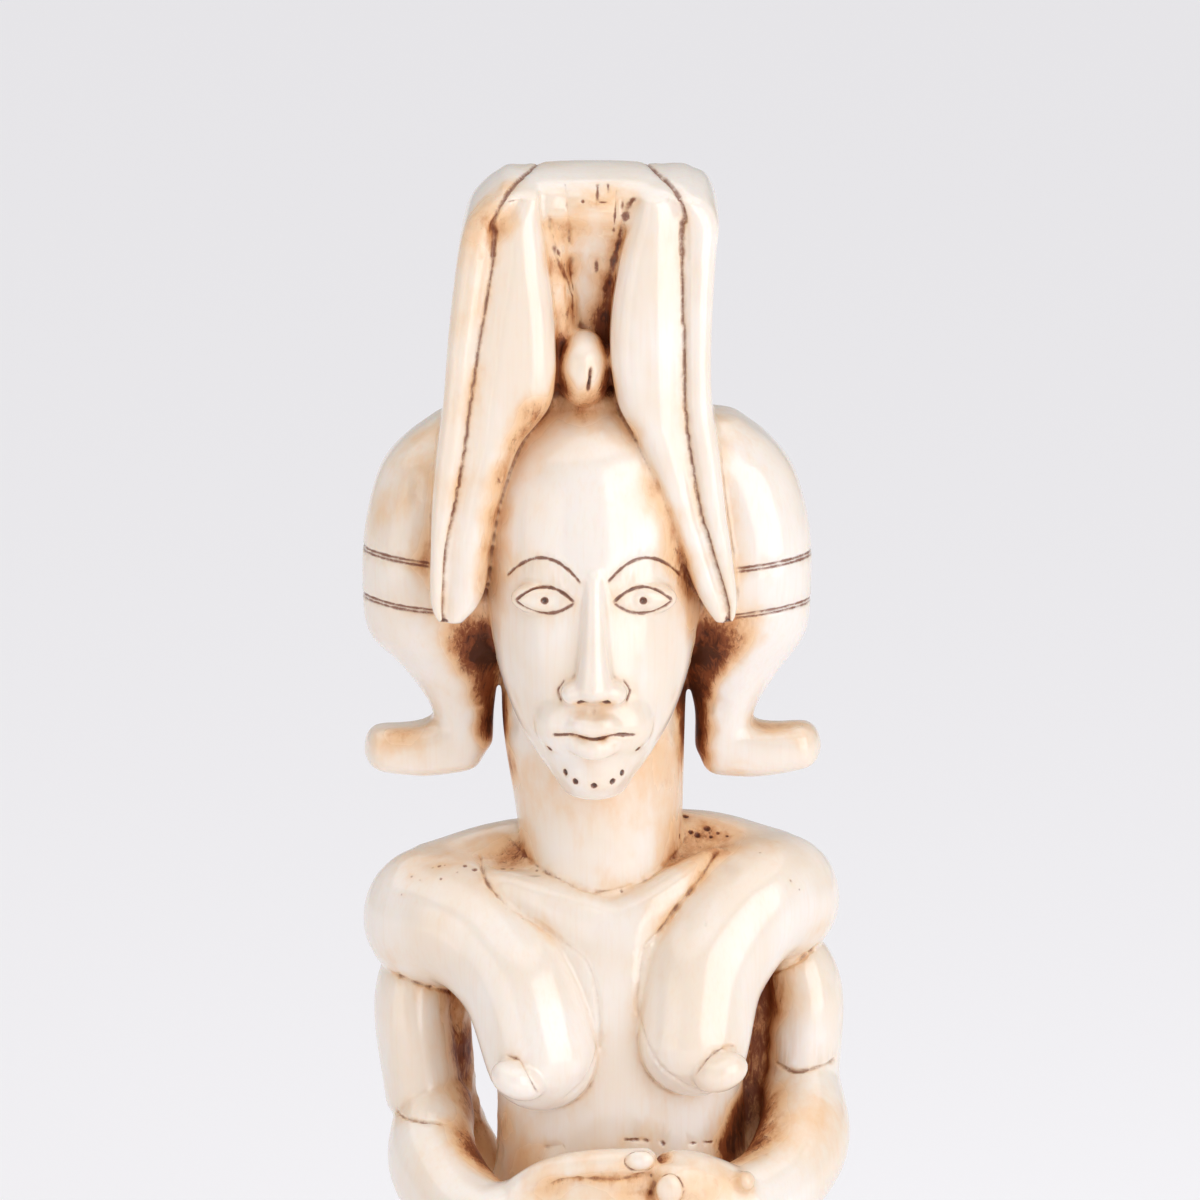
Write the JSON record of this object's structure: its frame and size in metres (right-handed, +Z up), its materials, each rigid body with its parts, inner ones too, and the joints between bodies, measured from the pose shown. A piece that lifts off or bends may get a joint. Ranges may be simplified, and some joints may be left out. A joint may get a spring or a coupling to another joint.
{
  "type": "carved standing figure",
  "caption": "Standing woman with her hands on her belly, a tall two-lobed crest and boot-shaped side lappets, carved with a low round base.",
  "frame": {"origin": "middle of the flat underside of the round base", "axes": "+Z up from the base to the crest, the figure faces -Y, and +X is towards the figure's own left"},
  "size_m": [0.1076, 0.092, 0.3685],
  "materials": {
    "ivory": "satin"
  },
  "bodies": {
    "root": {"carved_figure": "ivory"}
  },
  "joints": []
}
